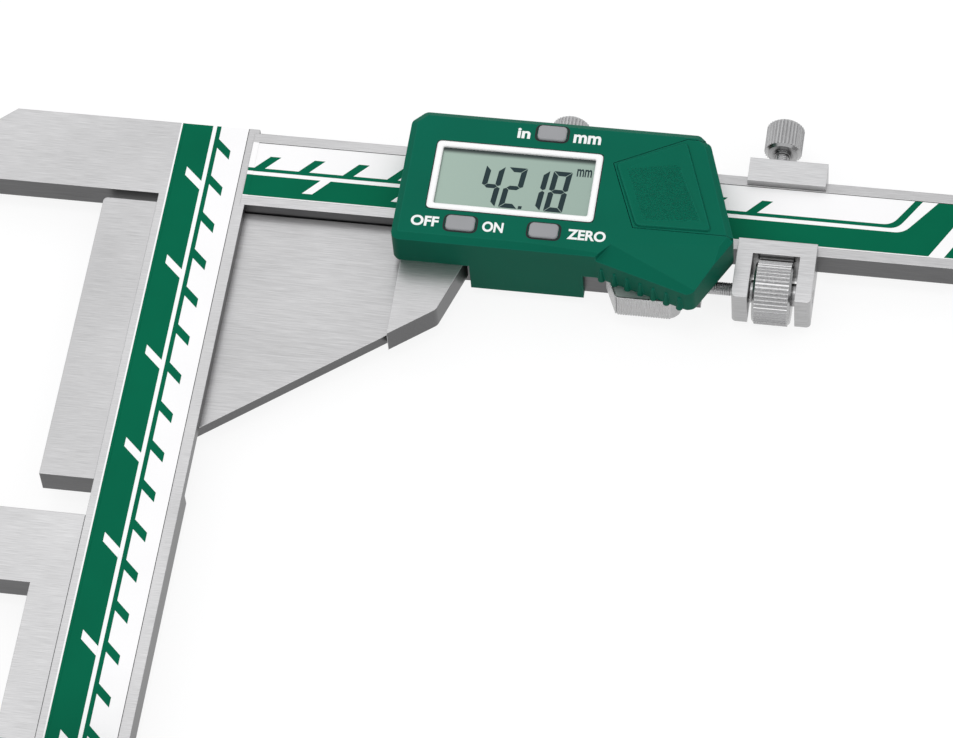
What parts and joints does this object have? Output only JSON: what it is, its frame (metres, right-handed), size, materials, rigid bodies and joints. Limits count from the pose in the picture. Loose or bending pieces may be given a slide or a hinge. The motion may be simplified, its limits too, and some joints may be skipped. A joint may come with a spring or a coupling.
{
  "type": "gear tooth caliper",
  "caption": "Digital gear tooth caliper: two crossed beams with displays, a measuring tongue between a fixed and a sliding jaw, and fine adjustment on both sliders.",
  "frame": {"origin": "on the back face of the fixed jaw, half way up its height, where the jaw leaves the thickness beam", "axes": "+X along the addendum beam, away from the jaws; +Y along the thickness beam, towards the fixed jaw; +Z out of the front faces"},
  "size_m": [0.2457, 0.2988, 0.0205],
  "materials": {
    "beam_steel": "satin ground stainless steel, brushed along X",
    "scale_label": "white and green printed scale film, plain ticks",
    "housing_green": "moulded green plastic, slight sheen",
    "button_grey": "grey soft-touch keys",
    "bezel_white": "white moulded frame",
    "lcd_glass": "reflective display glass",
    "knurled_steel": "knurled bright steel",
    "screw_steel": "small bright screws and pins",
    "gib_brass": "plain brass",
    "board_green": "circuit board",
    "inner_black": "black moulded plastic",
    "cell_steel": "coin cell can"
  },
  "bodies": {
    "root": {"thickness_beam": "beam_steel", "addendum_beam": "beam_steel", "thickness_scale": "scale_label", "addendum_scale": "scale_label", "beam_dowels": "screw_steel", "beam_joint_screws": "screw_steel", "thickness_stop_screws": "screw_steel", "addendum_stop_screws": "screw_steel"},
    "addendum_slider": {"addendum_slider": "beam_steel", "addendum_gib": "gib_brass", "addendum_gib_screws": "screw_steel", "addendum_thumb_rest": "knurled_steel", "addendum_display_housing": "housing_green", "addendum_display_base": "inner_black", "addendum_circuit_board": "board_green", "addendum_bezel": "bezel_white", "addendum_lcd": "lcd_glass", "addendum_lcd_holder": "inner_black", "addendum_battery": "cell_steel", "addendum_battery_contact": "screw_steel", "addendum_adjust_rod": "screw_steel", "addendum_housing_screws": "screw_steel", "tongue": "beam_steel", "tongue_screws": "screw_steel"},
    "addendum_battery_cover": {"addendum_battery_cover": "housing_green"},
    "addendum_carriage": {"addendum_carriage": "beam_steel"},
    "addendum_adjust_nut": {"addendum_adjust_nut": "knurled_steel"},
    "addendum_unit_button": {"addendum_unit_button": "button_grey"},
    "addendum_power_button": {"addendum_power_button": "button_grey"},
    "addendum_zero_button": {"addendum_zero_button": "button_grey"},
    "addendum_lock_screw": {"addendum_lock_screw": "knurled_steel"},
    "addendum_carriage_lock_screw": {"addendum_carriage_lock_screw": "knurled_steel"},
    "thickness_slider": {"thickness_slider": "beam_steel", "thickness_gib": "gib_brass", "thickness_gib_screws": "screw_steel", "thickness_thumb_rest": "knurled_steel", "thickness_display_housing": "housing_green", "thickness_display_base": "inner_black", "thickness_circuit_board": "board_green", "thickness_bezel": "bezel_white", "thickness_lcd": "lcd_glass", "thickness_lcd_holder": "inner_black", "thickness_battery": "cell_steel", "thickness_battery_contact": "screw_steel", "thickness_adjust_rod": "screw_steel", "thickness_housing_screws": "screw_steel"},
    "thickness_battery_cover": {"thickness_battery_cover": "housing_green"},
    "thickness_carriage": {"thickness_carriage": "beam_steel"},
    "thickness_adjust_nut": {"thickness_adjust_nut": "knurled_steel"},
    "thickness_unit_button": {"thickness_unit_button": "button_grey"},
    "thickness_power_button": {"thickness_power_button": "button_grey"},
    "thickness_zero_button": {"thickness_zero_button": "button_grey"},
    "thickness_lock_screw": {"thickness_lock_screw": "knurled_steel"},
    "thickness_carriage_lock_screw": {"thickness_carriage_lock_screw": "knurled_steel"}
  },
  "joints": [
    {"name": "addendum_slide", "type": "slide", "parent": "root", "child": "addendum_slider", "axis": [-1, 0, 0], "range_m": [0, 0.0365]},
    {"name": "addendum_carriage_slide", "type": "slide", "parent": "addendum_slider", "child": "addendum_carriage", "axis": [1, 0, 0], "range_m": [0, 0.005]},
    {"name": "addendum_nut_turn", "type": "hinge", "parent": "addendum_carriage", "child": "addendum_adjust_nut", "pos_m": [0.138, -0.019, 0.0024], "axis": [1, 0, 0], "range_deg": [0, 3600]},
    {"name": "addendum_lock_screw_turn", "type": "hinge", "parent": "addendum_slider", "child": "addendum_lock_screw", "pos_m": [0.08835, 0.014, 0.003], "axis": [0, 1, 0], "range_deg": [0, 360]},
    {"name": "addendum_carriage_lock_screw_turn", "type": "hinge", "parent": "addendum_carriage", "child": "addendum_carriage_lock_screw", "pos_m": [0.13595, 0.014, 0.003], "axis": [0, 1, 0], "range_deg": [0, 360]},
    {"name": "addendum_unit_button_press", "type": "slide", "parent": "addendum_slider", "child": "addendum_unit_button", "axis": [0, 0, -1], "range_m": [0, 0.0007], "stiffness_N_per_m": 400},
    {"name": "addendum_power_button_press", "type": "slide", "parent": "addendum_slider", "child": "addendum_power_button", "axis": [0, 0, -1], "range_m": [0, 0.0007], "stiffness_N_per_m": 400},
    {"name": "addendum_zero_button_press", "type": "slide", "parent": "addendum_slider", "child": "addendum_zero_button", "axis": [0, 0, -1], "range_m": [0, 0.0007], "stiffness_N_per_m": 400},
    {"name": "addendum_battery_cover_slide", "type": "slide", "parent": "addendum_slider", "child": "addendum_battery_cover", "axis": [1, 0, 0], "range_m": [0, 0.009]},
    {"name": "thickness_slide", "type": "slide", "parent": "root", "child": "thickness_slider", "axis": [0, -1, 0], "range_m": [-0.0087, 0.016]},
    {"name": "thickness_carriage_slide", "type": "slide", "parent": "thickness_slider", "child": "thickness_carriage", "axis": [0, -1, 0], "range_m": [0, 0.005]},
    {"name": "thickness_nut_turn", "type": "hinge", "parent": "thickness_carriage", "child": "thickness_adjust_nut", "pos_m": [-0.00825, -0.2364, 0.0024], "axis": [0, -1, 0], "range_deg": [0, 3600]},
    {"name": "thickness_lock_screw_turn", "type": "hinge", "parent": "thickness_slider", "child": "thickness_lock_screw", "pos_m": [0.02475, -0.18675, 0.003], "axis": [1, 0, 0], "range_deg": [0, 360]},
    {"name": "thickness_carriage_lock_screw_turn", "type": "hinge", "parent": "thickness_carriage", "child": "thickness_carriage_lock_screw", "pos_m": [0.02475, -0.23435, 0.003], "axis": [1, 0, 0], "range_deg": [0, 360]},
    {"name": "thickness_unit_button_press", "type": "slide", "parent": "thickness_slider", "child": "thickness_unit_button", "axis": [0, 0, -1], "range_m": [0, 0.0007], "stiffness_N_per_m": 400},
    {"name": "thickness_power_button_press", "type": "slide", "parent": "thickness_slider", "child": "thickness_power_button", "axis": [0, 0, -1], "range_m": [0, 0.0007], "stiffness_N_per_m": 400},
    {"name": "thickness_zero_button_press", "type": "slide", "parent": "thickness_slider", "child": "thickness_zero_button", "axis": [0, 0, -1], "range_m": [0, 0.0007], "stiffness_N_per_m": 400},
    {"name": "thickness_battery_cover_slide", "type": "slide", "parent": "thickness_slider", "child": "thickness_battery_cover", "axis": [0, -1, 0], "range_m": [0, 0.009]}
  ],
  "couplings": [
    {"joint": "addendum_carriage_slide", "follows": "addendum_nut_turn", "m_per_rad": 0.000079577},
    {"joint": "thickness_carriage_slide", "follows": "thickness_nut_turn", "m_per_rad": 0.000079577}
  ]
}
